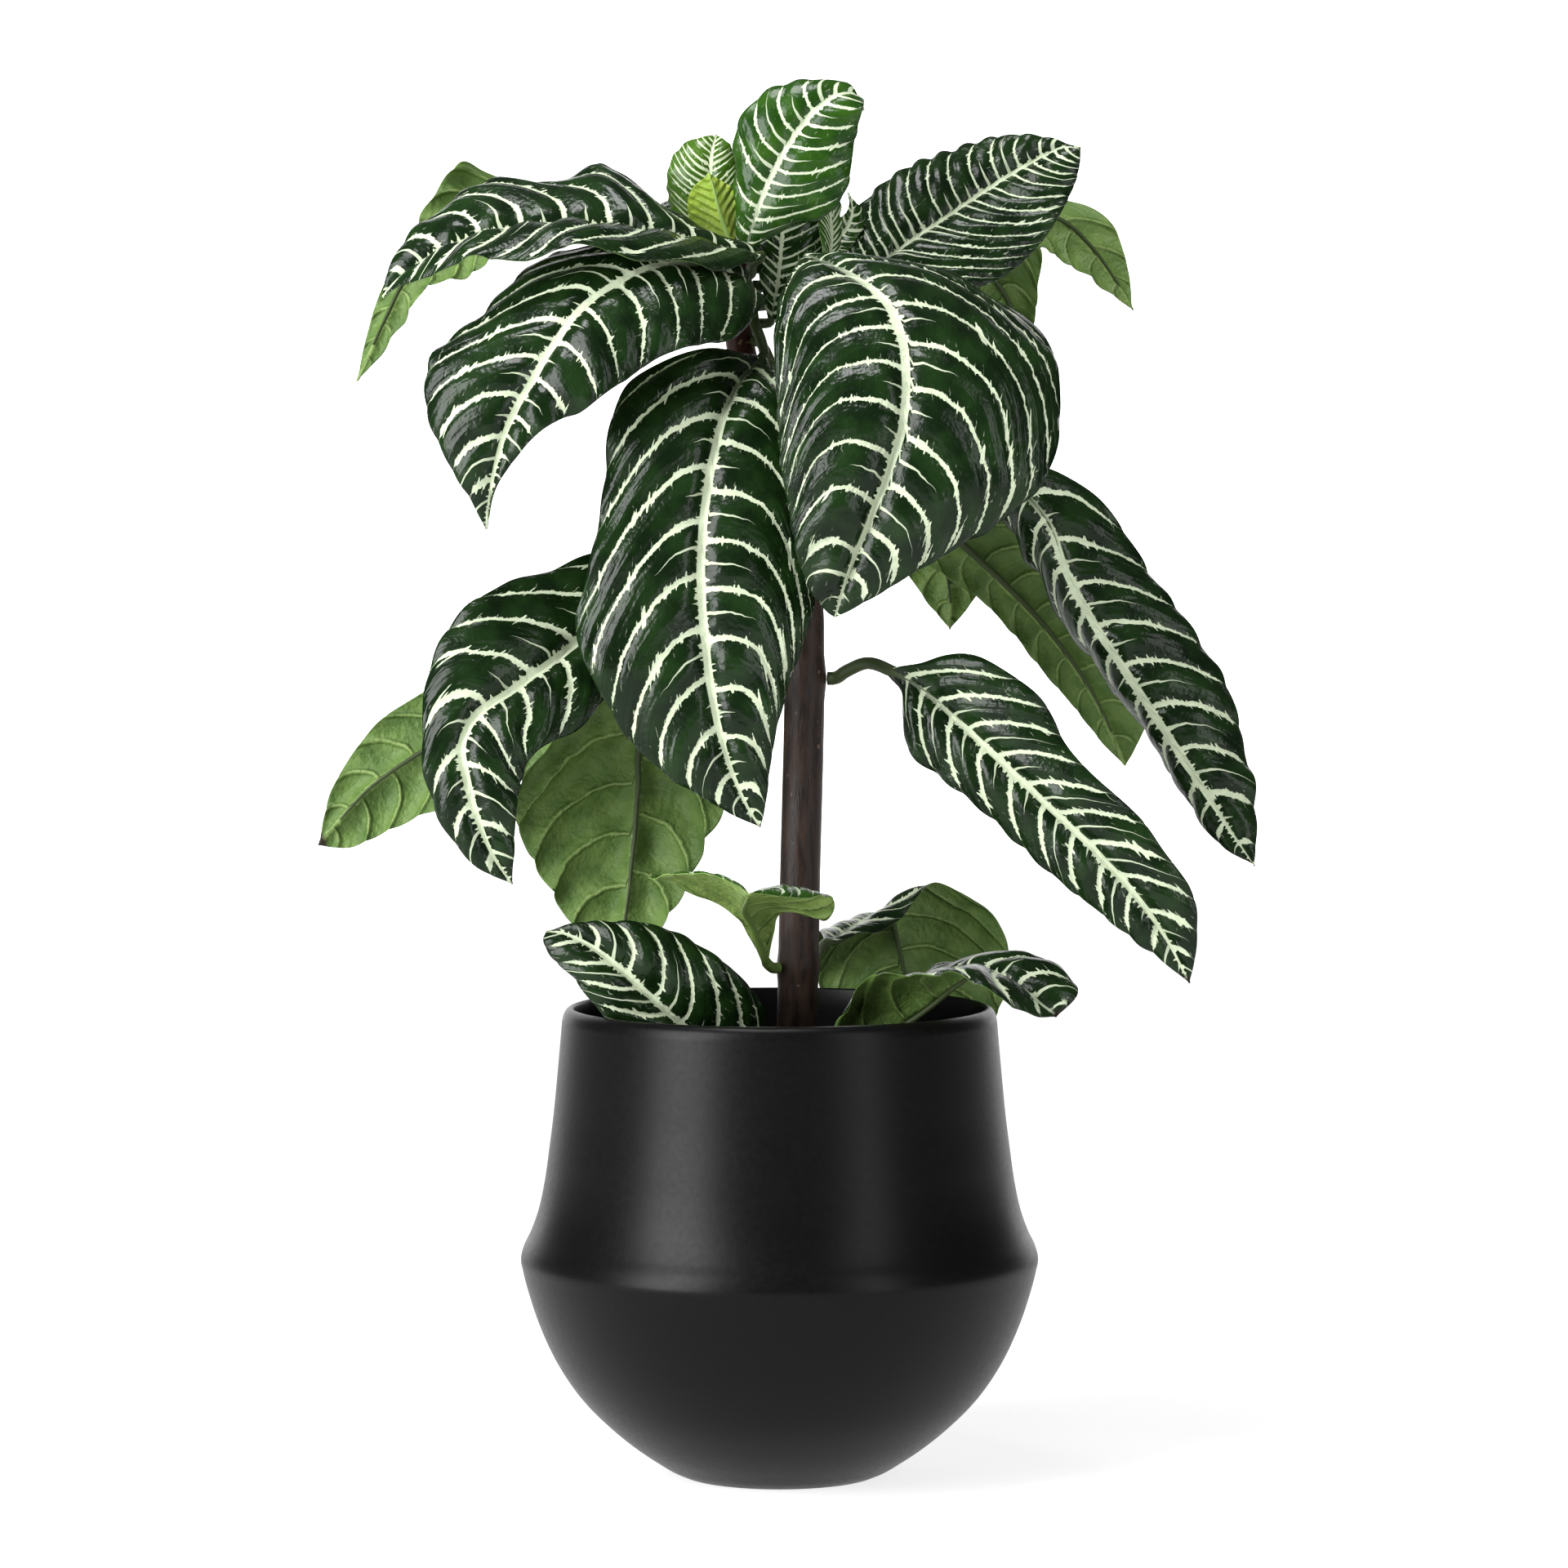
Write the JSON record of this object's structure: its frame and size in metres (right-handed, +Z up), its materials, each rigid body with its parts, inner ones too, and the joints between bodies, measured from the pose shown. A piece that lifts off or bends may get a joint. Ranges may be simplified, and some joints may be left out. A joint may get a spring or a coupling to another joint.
{
  "type": "potted plant",
  "caption": "Aphelandra (zebra plant) with dark, white-veined leaves on one leaning bare stem, planted in a black pot with a bowl-shaped foot and a flared shoulder",
  "frame": {"origin": "on the floor, at the middle of the flat foot of the pot", "axes": "+Z up, -Y the side seen in the picture (the front), +X to the right of someone who looks at the front"},
  "size_m": [0.4007, 0.2697, 0.592],
  "materials": {
    "pot_glaze": "satin",
    "soil": "matte",
    "stem_bark": "satin",
    "leaf_mature": "satin",
    "leaf_young": "satin"
  },
  "bodies": {
    "root": {"pot": "pot_glaze", "soil": "soil", "stem": "stem_bark", "leaf_front_right": "leaf_mature", "leaf_front_left": "leaf_mature", "leaf_left_big": "leaf_mature", "leaf_left_upper": "leaf_mature", "leaf_left_back": "leaf_mature", "leaf_right_upper": "leaf_mature", "leaf_right_back": "leaf_mature", "leaf_right_under": "leaf_mature", "leaf_crown_tall": "leaf_young", "leaf_crown_left": "leaf_young", "leaf_crown_bud": "leaf_young", "leaf_crown_narrow": "leaf_young", "leaf_crown_back": "leaf_young", "leaf_crown_front": "leaf_mature", "leaf_back_left": "leaf_mature", "leaf_back_mid": "leaf_mature", "leaf_left_mid": "leaf_mature", "leaf_left_low": "leaf_mature", "leaf_center_low": "leaf_mature", "leaf_right_low": "leaf_mature", "leaf_low_left": "leaf_mature", "leaf_low_right": "leaf_mature", "leaf_low_curl": "leaf_mature", "leaf_low_back": "leaf_mature", "leaf_right_hang": "leaf_mature", "leaf_right_green": "leaf_mature", "leaf_right_tip": "leaf_mature"}
  },
  "joints": []
}
